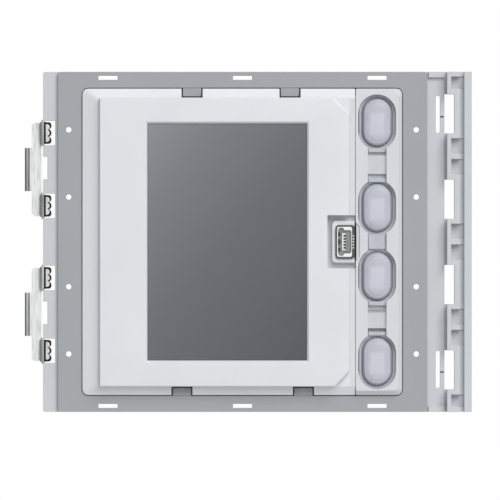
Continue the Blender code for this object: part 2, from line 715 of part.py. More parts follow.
def build_main_board(board, black, grey, steel, aluminium, copper):
    front, back = MAIN_BOARD
    plate = solid("main_board", [prism(rounded(-42.2, 42.2, -40.2, 40.2, 1.0, 3), front, back)], board)
    cut(plate, "screw_holes", [prism(circle(x, z, 1.2, 12), 0, 9) for x, z in board_screw_places()])
    seat = back + GAP
    solid("processor", [box(-8, 8, seat, seat + 1.4, 6, 22)], black)
    solid("memory_chip", [box(12, 24, seat, seat + 1.2, 8, 20)], black)
    solid("crystal", [prism(rounded(-20, -9.5, 12, 15.6, 1.7, 4), seat, seat + 3.5)], steel)
    solid("power_inductor", [prism(rounded(-34, -24, -6, 4, 2.0, 4), seat, seat + 5.0)], copper)
    for number, x in enumerate((-30.0, -18.0), start=1):
        can = [prism(circle(x, 28, 4.0, 20), seat, seat + 11.0)]
        solid(f"capacitor_{number}", can, aluminium, smooth=True)
    width, height = SOCKET
    cavity_w, cavity_h, cavity_depth = SOCKET_CAVITY
    mouth = CASE_BACK + 0.6
    for name, x in zip(("link_socket_in", "link_socket_out"), SOCKET_X):
        outer = box(x - width / 2, x + width / 2, seat, mouth, SOCKET_Z - height / 2, SOCKET_Z + height / 2)
        socket = solid(name, [outer], black)
        hollow = box(x - cavity_w / 2, x + cavity_w / 2, mouth - cavity_depth, mouth + 5,
                     SOCKET_Z - cavity_h / 2, SOCKET_Z + cavity_h / 2)
        key_slot = box(x - 1.2, x + 1.2, mouth - cavity_depth, mouth + 5, SOCKET_Z, SOCKET_Z + height)
        cut(socket, "cavity", [hollow])
        cut(socket, "key_slot", [key_slot])
    seatings = box(-9.0, 9.0, seat, CASE_BACK - 1.0, SOCKET_Z - 3.0, SOCKET_Z + 3.0)
    block = solid("configurator_socket", [seatings], grey)
    middles = [PLUG_PITCH * (seat_number - 2.5) for seat_number in range(6)]
    slots = [box(x - 0.9, x + 0.9, CASE_BACK - 5.5, 25, SOCKET_Z - 2.2, SOCKET_Z + 2.2) for x in middles]
    cut(block, "seatings", slots)
    solid("board_link", [box(33.5, 38.5, KEY_BOARD[1] + GAP, front - GAP, -4, 12)], black)


# ---------------------------------------------------------------- latches


def comb_outline(middle):
    """The latch's tail inside an aperture: a strip that ends in three blunt teeth."""
    half = KNUCKLE_HEIGHT / 2 - 0.3
    left, root, tip = 0.3, 1.5, 2.25
    pitch = 2 * half / 3
    points = [(left, middle + half), (left, middle - half)]
    for tooth in range(3):
        low = middle - half + tooth * pitch
        gap = 0.35 if tooth else 0.0
        end_gap = 0.35 if tooth < 2 else 0.0
        if tooth:
            points.append((root, low + gap))
        points.append((tip, low + gap))
        points.append((tip, low + pitch - end_gap))
        if tooth < 2:
            points.append((root, low + pitch - end_gap))
    return points


def build_latch(name, level, material):
    """A sprung plate on two knuckles. Local coordinates run from the pivot axis, out to the left and back."""
    hinge = joint_empty(f"{name}_hinge", (PIVOT_X, PIVOT_Y, level))
    depth = (KNUCKLE_INNER + KNUCKLE_OUTER) / 2
    line = [(-0.42, depth), (LATCH_BEND, depth), (-3.45, 1.85), LIP_CENTRE]
    plate = bent_strip(line, KNUCKLE_OUTER - KNUCKLE_INNER)
    latch = solid(name, [prism(plate, -LATCH_HALF_HEIGHT, LATCH_HALF_HEIGHT, "Z")], material, True, hinge)
    middles = [side * KNUCKLE_OFFSET for side in (1, -1)]
    half = KNUCKLE_HEIGHT / 2
    sleeve = circle(0, 0, KNUCKLE_OUTER, 20)
    sleeves = [prism(sleeve, middle - half, middle + half, "Z") for middle in middles]
    join(latch, "sleeves", sleeves)
    bores = [prism(circle(0, 0, KNUCKLE_INNER, 16), middle - 4, middle + 4, "Z") for middle in middles]
    join(latch, "combs", [prism(comb_outline(middle), 0.53, 0.78) for middle in middles])
    cut(latch, "bores", bores)
    trims = [box(-9, LATCH_EDGE, 0, 9, *span) for span in ((LIP_HALF_HEIGHT, 20), (-20, -LIP_HALF_HEIGHT))]
    cut(latch, "lip_sides", trims)
    lip = prism(circle(*LIP_CENTRE, LIP_RADIUS, 16), -LIP_HALF_HEIGHT, LIP_HALF_HEIGHT, "Z")
    join(latch, "lip", [lip])


# ---------------------------------------------------------------- assembly


def main():
    for item in list(bpy.data.objects):
        bpy.data.objects.remove(item)
    light_grey = new_material("frame_plastic", (0.56, 0.57, 0.60), 0.5)
    mid_grey = new_material("plate_coat", (0.36, 0.38, 0.40), 0.5)
    white = new_material("white_plastic", (0.80, 0.81, 0.83), 0.35)
    dark_grey = new_material("case_plastic", (0.10, 0.10, 0.11), 0.5)
    black = new_material("black_plastic", (0.03, 0.03, 0.03), 0.45)
    rubber = new_material("silicone", (0.60, 0.62, 0.68), 0.4)
    carbon = new_material("carbon_rubber", (0.02, 0.02, 0.02), 0.8)
    steel = new_material("steel", (0.62, 0.62, 0.62), 0.3, 1.0)
    spring_steel = new_material("spring_steel", (0.72, 0.72, 0.72), 0.25, 1.0)
    aluminium = new_material("aluminium", (0.75, 0.76, 0.77), 0.3, 1.0)
    copper = new_material("ferrite", (0.07, 0.07, 0.08), 0.6)
    glass = new_material("display_glass", (0.12, 0.13, 0.15), 0.1)
    cell = new_material("lcd_cell", (0.04, 0.04, 0.05), 0.2)
    diffuser = new_material("diffuser", (0.85, 0.85, 0.85), 0.6)
    film = new_material("polyimide", (0.55, 0.27, 0.05), 0.4)
    board = new_material("circuit_board", (0.02, 0.16, 0.08), 0.45)
    lamp = new_material("lamp", (0.90, 0.88, 0.70), 0.3)
    label = new_material("label", (0.65, 0.65, 0.66), 0.5)

    build_mounting_frame(light_grey)
    build_face_plate(mid_grey)
    build_front_tray(white)
    build_display_bezel(white)
    build_key_bezel(white)
    build_display(glass, cell, diffuser, steel, film, black)
    build_usb(steel, black, white)
    build_keypad_mat(rubber)
    build_keys(rubber, carbon)
    build_key_board(board, lamp, steel)
    build_rear_case(dark_grey, steel, label)
    build_main_board(board, black, light_grey, steel, aluminium, copper)
    for name, level in zip(("latch_upper", "latch_lower"), LATCH_Z):
        build_latch(name, level, spring_steel)


main()
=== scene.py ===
"""Looks for the door-entry display module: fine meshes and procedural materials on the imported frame."""

import json
import math

import bmesh
import bpy
from mathutils import Matrix, Vector


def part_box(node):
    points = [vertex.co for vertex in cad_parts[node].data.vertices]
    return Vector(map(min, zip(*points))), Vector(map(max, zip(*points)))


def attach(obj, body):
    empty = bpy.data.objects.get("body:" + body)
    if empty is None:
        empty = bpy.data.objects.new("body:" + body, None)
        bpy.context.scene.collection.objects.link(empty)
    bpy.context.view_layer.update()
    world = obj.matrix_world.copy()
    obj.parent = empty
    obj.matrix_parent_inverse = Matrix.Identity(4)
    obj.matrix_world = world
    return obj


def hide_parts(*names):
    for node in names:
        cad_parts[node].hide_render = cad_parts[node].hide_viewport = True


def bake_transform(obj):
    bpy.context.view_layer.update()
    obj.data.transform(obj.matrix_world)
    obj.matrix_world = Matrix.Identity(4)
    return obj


MM = 0.001
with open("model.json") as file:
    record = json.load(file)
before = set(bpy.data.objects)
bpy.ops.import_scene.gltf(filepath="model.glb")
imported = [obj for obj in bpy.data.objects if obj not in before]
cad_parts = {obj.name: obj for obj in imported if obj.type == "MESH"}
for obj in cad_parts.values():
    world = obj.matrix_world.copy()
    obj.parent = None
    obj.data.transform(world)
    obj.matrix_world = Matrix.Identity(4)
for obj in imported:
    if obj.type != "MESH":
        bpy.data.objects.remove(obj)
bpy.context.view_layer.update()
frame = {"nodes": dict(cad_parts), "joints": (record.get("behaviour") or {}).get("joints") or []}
nodes = frame["nodes"]


# ---------------------------------------------------------------- places taken from the frame, in millimetres


def span(node):
    """(x0, x1, y0, y1, z0, z1) of a CAD node, in millimetres."""
    low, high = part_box(node)
    return tuple(value / MM for pair in zip(low, high) for value in pair)


GLASS = span("display_glass")
SHELL = span("usb_shell")
BEZEL = span("display_bezel")
KEY_NAMES = [f"key_{number}" for number in range(1, 5)]
JOINTS = {joint["name"]: joint for joint in frame["joints"]}


# ---------------------------------------------------------------- dimensions, in millimetres

DOUBLED = 0.0005            # points of an outline closer than this are one
SAME_POINT = 0.002          # vertices of a mesh closer than this are one
FLAT_ANGLE = 0.5            # degrees between faces that count as one plane

# Display surround: the back of its skirt, its cut corners, its soft edge and what is cut from it.
SURROUND_BACK = -5.3
CUT_X, CUT_Z = 3.8, 4.1
CUT_SLANT = 2.6             # how much faster than its sides the outline's cut corners move inward
SOFT_EDGE, SOFT_EDGE_STEPS = 0.3, 5
WINDOW_GAP, WINDOW_LIP = 0.1, 0.62
RECESS_LEFT, RECESS_RIGHT, RECESS_HALF = 22.7, 32, 7.1

# Keys: (width, height, Y) of the foot's sections, then the dome and the shallow crown on it.
KEY_FOOT = (
    (5.0, 8.0, -2.2), (5.0, 8.0, -3.28), (7.9, 12.9, -3.3),
    (8.0, 13.0, -3.45), (7.9, 12.9, -3.75), (7.55, 12.55, -4.05),
)
DOME_WIDTH, DOME_HEIGHT = 7.4, 12.4
DOME_BASE, DOME_RISE, DOME_INSET = -3.75, 1.25, 1.75
DOME_START, DOME_STEPS = 20, 10     # the first angle of the dome's section, in degrees
CROWN_STRAIGHT = 5.0                # how much taller than wide the crown is
CROWN_SHARES = (0.85, 0.6, 0.3)
WEB_OUTER, WEB_INNER = (8.9, 13.9), (7.4, 12.4)

# USB socket: how far the shell stays inside its CAD node, its walls and what it holds.
SHELL_INSET_X, SHELL_INSET_Z = 0.06, 0.12
SHELL_CORNER, BORE_CORNER, LINER_CORNER = 0.85, 0.6, 0.56
THIN_WALL, THICK_WALL, END_WALL = 0.3, 0.7, 0.35
LINER_BACK = -1.2
WIDE_HALF, NARROW_HALF = 3.75, 3.1  # half heights of the mouth's two steps
CONTACT_PITCH, CONTACT_COUNT = 0.8, 5
CONTACT_HALF, TAIL_HALF, RAIL_HALF = 0.25, 0.19, 2.3
SPRINGS = ((-2.05, 0.5), (0.0, 0.7), (2.05, 0.5))   # (Z, half height)
COLLAR_CORNER, COLLAR_INSET, COLLAR_SLOPE, COLLAR_GAP = 1.1, 0.12, 0.25, 0.04

# Latches, from the pivot's axis: -X is outward and +Y is backward. Arcs are (start, sweep, steps).
SHEET, SHEET_Y = 0.26, 0.66
PLATE_LEFT, PLATE_RIGHT, PLATE_HALF, PLATE_CORNER = 3.0, 0.42, 12.55, 1.1
KNUCKLE_OFFSET, KNUCKLE_HALF = 9.75, 2.95
TAIL_START, TOOTH_ROOT, TOOTH_TIP, TOOTH_RIM = 0.3, 1.75, 2.3, 0.52
TEETH, TOOTH_STEPS, TOOTH_GAP = 3, 12, 0.04
TAIL_PROUD = 0.02
# The rolls' sides and the lip's limbs are drawn in black, as painted shade.
ROLL_RADIUS, ROLL_SIDES, ROLL_FRONT = 0.66, ((100, -168, 16), (-150, -85, 8)), (-68, -82, 8)
LIP_HALF, LIP_RADIUS, LIP_X, LIP_Y = 5.8, 0.55, 4.2, 2.5
LIP_LIMBS = ((-46, 56, 5), (-134, -56, 5))
LIP_FACES = ((-46, -88, 12), (10, 160, 12))
LIP_ARM_PROUD = 0.06

# Link sockets: the pins' count, pitch, half thickness, and how far inside the mouth they lie.
PIN_COUNT, PIN_PITCH, PIN_HALF = 8, 1.27, 0.2
PIN_ROOT, PIN_TIP = 8.2, 2.2


# ---------------------------------------------------------------- outlines and meshes


def rectangle(x0, x1, z0, z1):
    return [(x0, z0), (x1, z0), (x1, z1), (x0, z1)]


def rounded(x0, x1, z0, z1, radius, steps=6):
    """A rectangle with round corners, without doubled points."""
    centres = ((x1 - radius, z1 - radius), (x0 + radius, z1 - radius),
               (x0 + radius, z0 + radius), (x1 - radius, z0 + radius))
    points = []
    for corner, (centre_x, centre_z) in enumerate(centres):
        for step in range(steps + 1):
            angle = math.radians(90 * (corner + step / steps))
            point = (centre_x + radius * math.cos(angle), centre_z + radius * math.sin(angle))
            if not points or math.dist(point, points[-1]) > DOUBLED:
                points.append(point)
    if math.dist(points[0], points[-1]) < DOUBLED:
        points.pop()
    return points


def left_rounded(x0, x1, z0, z1, radius):
    """A rectangle that is round-cornered on its left side only."""
    return [(min(x, x1), z) for x, z in rounded(x0, x1 + radius, z0, z1, radius)]


def oval(x, z, width, height, steps=14):
    half_w, half_h = width / 2, height / 2
    return rounded(x - half_w, x + half_w, z - half_h, z + half_h, half_w - 0.0001, steps)


PLACE = {
    "Y": lambda a, b, t: (a, t, b),
    "Z": lambda a, b, t: (a, b, t),
}


def prism(outline, low, high, axis="Y"):
    place = PLACE[axis]
    return [[place(a, b, level) for a, b in outline] for level in (low, high)]


def loft(*levels):
    return [[(x, y, z) for x, z in outline] for outline, y in levels]


def box(x0, x1, y0, y1, z0, z1):
    return prism(rectangle(x0, x1, z0, z1), y0, y1)


def skin(bm, rings):
    """Faces between each ring of vertices and the next."""
    for lower, upper in zip(rings, rings[1:]):
        for here in range(len(lower)):
            after = (here + 1) % len(lower)
            bm.faces.new((lower[here], lower[after], upper[after], upper[here]))


def smooth(mesh, angle):
    """Smooth shading, except at edges sharper than an angle in degrees."""
    mesh.shade_smooth()
    mesh.set_sharp_from_angle(angle=math.radians(angle))


def to_mesh(bm, name, smooth_angle=None):
    """A mesh in metres from one drawn in millimetres, with its faces turned outward."""
    bmesh.ops.recalc_face_normals(bm, faces=bm.faces[:])
    mesh = bpy.data.meshes.new(name)
    bm.to_mesh(mesh)
    bm.free()
    mesh.transform(Matrix.Scale(MM, 4))
    if smooth_angle is not None:
        smooth(mesh, smooth_angle)
    return mesh


def mesh_of(name, shapes, smooth_angle=None):
    """One mesh from shapes, each a list of loops skinned together and closed at both ends."""
    bm = bmesh.new()
    for loops in shapes:
        rings = [[bm.verts.new(point) for point in loop] for loop in loops]
        skin(bm, rings)
        bm.faces.new(rings[0])
        bm.faces.new(rings[-1])
    return to_mesh(bm, name, smooth_angle)


def ring_mesh(name, loops, smooth_angle):
    """One mesh from loops skinned in a closed round, with no ends."""
    bm = bmesh.new()
    rings = [[bm.verts.new(point) for point in loop] for loop in loops]
    skin(bm, rings + rings[:1])
    return to_mesh(bm, name, smooth_angle)


def new_object(name, mesh):
    item = bpy.data.objects.new(name, mesh)
    bpy.context.scene.collection.objects.link(item)
    return item


def carve(item, shapes):
    """Cuts shapes from a mesh and keeps only the result."""
    helper = new_object("helper", mesh_of("helper", shapes))
    boolean = item.modifiers.new("boolean", "BOOLEAN")
    boolean.operation = "DIFFERENCE"
    boolean.object = helper
    bpy.context.view_layer.update()
    result = bpy.data.meshes.new_from_object(item.evaluated_get(bpy.context.evaluated_depsgraph_get()))
    item.modifiers.clear()
    item.data = result
    bpy.data.objects.remove(helper)


def round_edges(item, width, segments=3, angle=30):
    """Rounds the sharp edges of a mesh of the script's own, then shades it smooth."""
    bm = bmesh.new()
    bm.from_mesh(item.data)
    bmesh.ops.remove_doubles(bm, verts=bm.verts[:], dist=SAME_POINT * MM)
    flat = math.radians(FLAT_ANGLE)
    bmesh.ops.dissolve_limit(bm, angle_limit=flat, verts=bm.verts[:], edges=bm.edges[:])
    bm.to_mesh(item.data)
    bm.free()
    smooth(item.data, angle)
    bevel = item.modifiers.new("edges", "BEVEL")
    bevel.width = width * MM
    bevel.segments = segments
    bevel.limit_method = "ANGLE"
    bevel.angle_limit = math.radians(angle)
    bevel.harden_normals = True


def show(item, material, body, slot, *replaced):
    """Gives a piece its material and its body, and hides the CAD nodes it stands for; the slot is not used.
    """
    item.data.materials.clear()
    item.data.materials.append(material)
    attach(item, body)
    if replaced:
        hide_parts(*replaced)
    return item


def piece(name, shapes, material, body, slot, *replaced, edge=0.0):
    """A new piece from shapes, with its sharp edges rounded when an edge width is given."""
    item = new_object(name, mesh_of(name, shapes))
    if edge:
        round_edges(item, edge)
    return show(item, material, body, slot, *replaced)


def keep_node(name, material, edge=0.0):
    """A CAD node that stays: it gets a material, and its edges are rounded by modifiers alone."""
    item = nodes[name]
    item.data.materials.clear()
    item.data.materials.append(material)
    if edge:
        weld = item.modifiers.new("weld", "WELD")
        weld.merge_threshold = SAME_POINT * MM
        planar = item.modifiers.new("planar", "DECIMATE")
        planar.decimate_type = "DISSOLVE"
        planar.angle_limit = math.radians(FLAT_ANGLE)
        bevel = item.modifiers.new("edges", "BEVEL")
        bevel.width = edge * MM
        bevel.segments = 2
        bevel.limit_method = "ANGLE"
        bevel.angle_limit = math.radians(35)


# ---------------------------------------------------------------- materials


class Nodes:
    """A short way to write a material's node tree."""

    def __init__(self, name):
        self.material = bpy.data.materials.new(name)
        self.material.use_nodes = True
        self.tree = self.material.node_tree
        self.shader = self.tree.nodes["Principled BSDF"]
        coordinates = self.tree.nodes.new("ShaderNodeTexCoord")
        self.object_space = coordinates.outputs["Object"]

    def add(self, kind, **inputs):
        node = self.tree.nodes.new(kind)
        for key, value in inputs.items():
            self.put(node.inputs[key.replace("_", " ")], value)
        return node

    def put(self, socket, value):
        if isinstance(value, bpy.types.NodeSocket):
            self.tree.links.new(value, socket)
        else:
            socket.default_value = value

    def noise(self, scale, detail=2.0, stretch=(1, 1, 1), roughness=0.5):
        mapping = self.add("ShaderNodeMapping", Vector=self.object_space, Scale=stretch)
        noise = self.add("ShaderNodeTexNoise", Vector=mapping.outputs["Vector"], Scale=scale)
        noise.inputs["Detail"].default_value = detail
        noise.inputs["Roughness"].default_value = roughness
        return noise.outputs["Fac"]

    def range(self, value, low, high, from_low=0.3, from_high=0.7):
        node = self.add("ShaderNodeMapRange", Value=value)
        node.inputs["From Min"].default_value = from_low
        node.inputs["From Max"].default_value = from_high
        node.inputs["To Min"].default_value = low
        node.inputs["To Max"].default_value = high
        return node.outputs["Result"]

    def ramp(self, value, *stops):
        node = self.add("ShaderNodeValToRGB", Fac=value)
        elements = node.color_ramp.elements
        while len(elements) < len(stops):
            elements.new(0.5)
        for element, (position, colour) in zip(elements, stops):
            element.position = position
            element.color = (*colour, 1.0)
        return node.outputs["Color"]

    def math(self, operation, first, second):
        node = self.tree.nodes.new("ShaderNodeMath")
        node.operation = operation
        self.put(node.inputs[0], first)
        self.put(node.inputs[1], second)
        return node.outputs["Value"]

    def mix(self, factor, first, second):
        node = self.tree.nodes.new("ShaderNodeMix")
        node.data_type = "RGBA"
        sockets = [socket for socket in node.inputs if socket.enabled]
        for socket, value in zip(sockets, (factor, first, second)):
            self.put(socket, value)
        return next(socket for socket in node.outputs if socket.enabled)

    def soft_band(self, value, middle, half_width, blur):
        """1 within half_width millimetres of the middle, falling to 0 over the blur."""
        apart = self.math("ABSOLUTE", self.math("SUBTRACT", value, middle * MM), 0.0)
        return self.range(apart, 1.0, 0.0, (half_width - blur) * MM, (half_width + blur) * MM)

    def inside(self, x0, x1, y0, y1, z0, z1, blur=0.12):
        """1 inside a box of the object's own space, in millimetres, and 0 outside it."""
        apart = self.add("ShaderNodeSeparateXYZ", Vector=self.object_space)
        share = 1.0
        for axis, low, high in (("X", x0, x1), ("Y", y0, y1), ("Z", z0, z1)):
            band = self.soft_band(apart.outputs[axis], (low + high) / 2, (high - low) / 2, blur)
            share = self.math("MULTIPLY", band, share)
        return share

    def bump(self, height, strength, distance, edge=0.0):
        """Surface relief, over normals that are rounded for edge millimetres at each sharp edge."""
        node = self.add("ShaderNodeBump", Height=height)
        if edge:
            rounding = self.add("ShaderNodeBevel", Radius=edge * MM)
            rounding.samples = 6
            self.put(node.inputs["Normal"], rounding.outputs["Normal"])
        node.inputs["Strength"].default_value = strength
        node.inputs["Distance"].default_value = distance * MM
        self.put(self.shader.inputs["Normal"], node.outputs["Normal"])

    def surface(self, **inputs):
        for key, value in inputs.items():
            self.put(self.shader.inputs[key.replace("_", " ")], value)
        return self.material


def shade(colour, factor):
    return tuple(min(1.0, channel * factor) for channel in colour)


def moulded(name, colour, roughness=0.42, mottle=0.02, grain=0.25, grain_scale=9000.0,
            edge=0.0, painted_shade_areas=()):
    """Injection-moulded plastic: a faint flow mottle, a fine eroded grain and uneven gloss.

    Each area of painted shade is (box, factor). Inside its box the colour is multiplied by the factor,
    to bring the floors of recesses to the photo's darker tone. Inside its box the colour is multiplied
    by the factor, painting shade onto the floors of recesses and onto the tray beside the display
    surround.
    """
    made = Nodes(name)
    flow = made.noise(60.0, 3.0)
    tint = made.ramp(flow, (0.3, shade(colour, 1 - mottle)), (0.7, shade(colour, 1 + mottle)))
    # Painted shade: inside each box the colour is darkened by its factor.
    for bounds, factor in painted_shade_areas:
        tint = made.mix(made.inside(*bounds), tint, (*shade(colour, factor), 1.0))
    gloss = made.range(made.noise(420.0, 2.0), roughness - 0.05, roughness + 0.06)
    made.bump(made.noise(grain_scale, 2.0), grain, 0.01, edge)
    return made.surface(Base_Color=tint, Roughness=gloss, IOR=1.5)


def metal(name, colour, roughness, brush=(1, 1, 60), scale=1200.0, contrast=0.1, metallic=1.0):
    """Rolled or plated metal with fine lines along its length."""
    made = Nodes(name)
    lines = made.noise(scale, 3.0, tuple(1 / value for value in brush))
    tint = made.ramp(lines, (0.3, shade(colour, 1 - contrast)), (0.7, shade(colour, 1.06)))
    gloss = made.range(lines, roughness - 0.06, roughness + 0.1)
    made.bump(lines, 0.12, 0.01)
    return made.surface(Base_Color=tint, Roughness=gloss, Metallic=metallic)


def silicone(name, colour):
    """Milky translucent silicone with a faint cloud in it."""
    made = Nodes(name)
    cloud = made.noise(260.0, 3.0)
    tint = made.ramp(cloud, (0.25, shade(colour, 0.96)), (0.75, shade(colour, 1.04)))
    gloss = made.range(made.noise(900.0), 0.34, 0.46)
    made.bump(made.noise(6000.0), 0.12, 0.01)
    return made.surface(Base_Color=tint, Roughness=gloss, IOR=1.41, Subsurface_Weight=0.35,
                        Subsurface_Radius=(1.0, 1.0, 1.1), Subsurface_Scale=0.0006)


def key_silicone(name, colour, shade_colour):
    """The keys' silicone: painted shade darkens it down its sides, and a pale patch in its middle is a
    painted reflection.
    """
    made = Nodes(name)
    apart = made.add("ShaderNodeSeparateXYZ", Vector=made.object_space)
    # Painted shade: 1 on the key's top, falling to 0 down its sides, where the darker colour is mixed in.
    height = made.range(apart.outputs["Y"], 1.0, 0.0, -4.9 * MM, -3.6 * MM)
    cloud = made.noise(420.0, 3.0)
    pale = made.ramp(cloud, (0.3, shade(colour, 0.96)), (0.7, shade(colour, 1.04)))
    # Painted reflection: a pale patch in the key's middle.
    across = made.soft_band(apart.outputs["X"], 0.0, 1.9, 0.35)
    along = made.soft_band(apart.outputs["Z"], -0.5, 2.9, 0.4)
    reflection_patch = made.math("MULTIPLY", across, along)
    lit = made.mix(made.math("MULTIPLY", reflection_patch, 0.8), pale, (*shade(colour, 1.2), 1.0))
    tint = made.mix(height, (*shade_colour, 1.0), lit)
    gloss = made.range(made.noise(900.0), 0.30, 0.42)
    made.bump(made.noise(5000.0), 0.1, 0.01)
    return made.surface(Base_Color=tint, Roughness=gloss, IOR=1.41, Subsurface_Weight=0.3,
                        Subsurface_Radius=(1.0, 1.0, 1.1), Subsurface_Scale=0.0005)


def display_surface(name):
    """An unlit display behind its window: dark grey, with a painted reflection that lightens it towards the
    top left.
    """
    made = Nodes(name)
    apart = made.add("ShaderNodeSeparateXYZ", Vector=made.object_space)
    x0, x1, _, _, z0, z1 = GLASS
    across = made.range(apart.outputs["X"], 1.0, 0.0, x0 * MM, x1 * MM)
    up = made.range(apart.outputs["Z"], 0.0, 1.0, z0 * MM, z1 * MM)
    # Painted reflection: this share rises towards the top left and lightens the grey.
    reflection_share = made.math("ADD", made.math("MULTIPLY", across, 0.45), made.math("MULTIPLY", up, 0.55))
    tint = made.ramp(
        reflection_share,
        (0.0, (0.108, 0.114, 0.126)),
        (0.5, (0.158, 0.166, 0.184)),
        (0.8, (0.220, 0.226, 0.246)),
        (1.0, (0.290, 0.295, 0.315)),
    )
    gloss = made.range(made.noise(300.0), 0.20, 0.24)
    made.bump(made.noise(12000.0), 0.04, 0.002)
    return made.surface(Base_Color=tint, Roughness=gloss, IOR=1.45, Specular_IOR_Level=0.35)


# Areas of painted shade: a box (x0, x1, y0, y1, z0, z1) in millimetres, and the factor that darkens the
# colour inside it.
PAINTED_SHADE_POCKETS = ((55.9, 59.2, -3.2, -2.8, -46.0, 46.0), 0.93)
PAINTED_SHADE_RECESS = ((22.3, 30.4, -3.7, -3.3, -7.3, 7.3), 0.84)
PAINTED_SHADE_BESIDE_SURROUND = ((28.6, 30.2, -5.15, -4.85, -38.6, 38.4), 0.9)
PAINTED_SHADE_PANELS = [((33.4, 38.6, -4.35, -4.05, low, high), 0.88)
               for low, high in ((-23.3, -17.9), (17.9, 23.3))]
WHITE_COLOUR = (0.80, 0.81, 0.84)
STRIP_COLOUR = (0.725, 0.735, 0.765)
FRAME_GREY = moulded("frame_grey", (0.63, 0.64, 0.67), edge=0.22, painted_shade_areas=[PAINTED_SHADE_POCKETS])
PLATE_GREY = moulded("plate_grey", (0.385, 0.395, 0.415), roughness=0.5, edge=0.15)
WHITE = moulded("warm_white", WHITE_COLOUR, roughness=0.36, edge=0.22)
TRAY_WHITE = moulded("tray_white", WHITE_COLOUR, roughness=0.36, edge=0.22,
                     painted_shade_areas=[PAINTED_SHADE_RECESS, PAINTED_SHADE_BESIDE_SURROUND])
STRIP_WHITE = moulded("strip_white", STRIP_COLOUR, roughness=0.36, edge=0.22, painted_shade_areas=PAINTED_SHADE_PANELS)
CASE_GREY = moulded("case_grey", (0.045, 0.047, 0.05), roughness=0.5, grain=0.45, grain_scale=4200.0)
BLACK = moulded("black_nylon", (0.022, 0.022, 0.023), roughness=0.45)
LABEL = moulded("label_film", (0.62, 0.63, 0.64), roughness=0.3, mottle=0.01)
BOARD = moulded("solder_mask", (0.012, 0.11, 0.055), roughness=0.3, mottle=0.08)
DIFFUSER = moulded("diffuser_film", (0.86, 0.86, 0.86), roughness=0.6)
LAMP = moulded("lamp_resin", (0.85, 0.82, 0.62), roughness=0.2)
CARBON = moulded("carbon_pill", (0.02, 0.02, 0.02), roughness=0.8)
FILM = moulded("amber_film", (0.42, 0.17, 0.03), roughness=0.25, mottle=0.06)
FERRITE = moulded("ferrite_body", (0.06, 0.06, 0.065), roughness=0.65)
CELL = moulded("polariser", (0.03, 0.03, 0.035), roughness=0.2)
STEEL = metal("plated_steel", (0.56, 0.57, 0.58), 0.28)
DARK_STEEL = metal("shell_steel", (0.16, 0.16, 0.17), 0.4)
BRIGHT = metal("bright_steel", (0.95, 0.95, 0.95), 0.6)
# The latches' plate and rolls are one steel in two copies: this whiter, less metallic one is painted light on
# the flat plate, and the darker one below is painted shade on the rolls.
LIT_PLATE_STEEL = metal("spring_steel", (0.96, 0.96, 0.96), 0.5, (1, 1, 12), scale=2900.0, contrast=0.3,
               metallic=0.25)
SHADED_ROLL_STEEL = metal("roll_steel_painted_shade", (0.80, 0.80, 0.80), 0.34, scale=2200.0, contrast=0.35)
# Black sheet of painted shade on the latches: the teeth's rims, the rolls' sides and the lip's limbs.
SHADE_BLACK_STEEL = metal("painted_shade_black", (0.012, 0.012, 0.012), 0.6, metallic=0.2)
ALUMINIUM = metal("can_aluminium", (0.78, 0.79, 0.80), 0.3)
GOLD = metal("contact_gold", (0.83, 0.62, 0.28), 0.25)
RUBBER = silicone("mat_silicone", (0.56, 0.58, 0.63))
# The third colour is painted shade down the keys' sides.
KEY_RUBBER = key_silicone("key_silicone", (0.56, 0.57, 0.63), (0.33, 0.34, 0.38))
SOCKET_GREY = moulded("socket_grey", (0.26, 0.26, 0.26), roughness=0.4)
DISPLAY = display_surface("display_painted_reflection")


# ---------------------------------------------------------------- structure


def build_structure():
    keep_node("mounting_frame", FRAME_GREY, 0.16)
    keep_node("face_plate", PLATE_GREY, 0.08)
    keep_node("front_tray", TRAY_WHITE, 0.16)
    keep_node("key_bezel", STRIP_WHITE, 0.16)
    keep_node("rear_case", CASE_GREY, 0.3)
    keep_node("rating_plate", LABEL, 0.05)
    keep_node("keypad_mat", RUBBER, 0.12)
    for number in range(1, 5):
        keep_node(f"case_screw_{number}", STEEL, 0.08)
        keep_node(f"board_screw_{number}", STEEL)
        keep_node(f"key_lamp_{number}", LAMP)
        keep_node(f"contact_pill_{number}", CARBON)


def build_inside():
    for number in (1, 2):
        keep_node(f"key_board_screw_{number}", STEEL)
        keep_node(f"capacitor_{number}", ALUMINIUM)
    for name in ("processor", "memory_chip", "board_link", "lcd_connector"):
        keep_node(name, BLACK)
    for name in ("main_board", "key_board"):
        keep_node(name, BOARD)
    keep_node("crystal", STEEL)
    keep_node("power_inductor", FERRITE)
    keep_node("lcd_cell", CELL)
    keep_node("lcd_backlight", DIFFUSER)
    keep_node("lcd_frame", STEEL)
    keep_node("lcd_flex", FILM)


# ---------------------------------------------------------------- display bezel and window


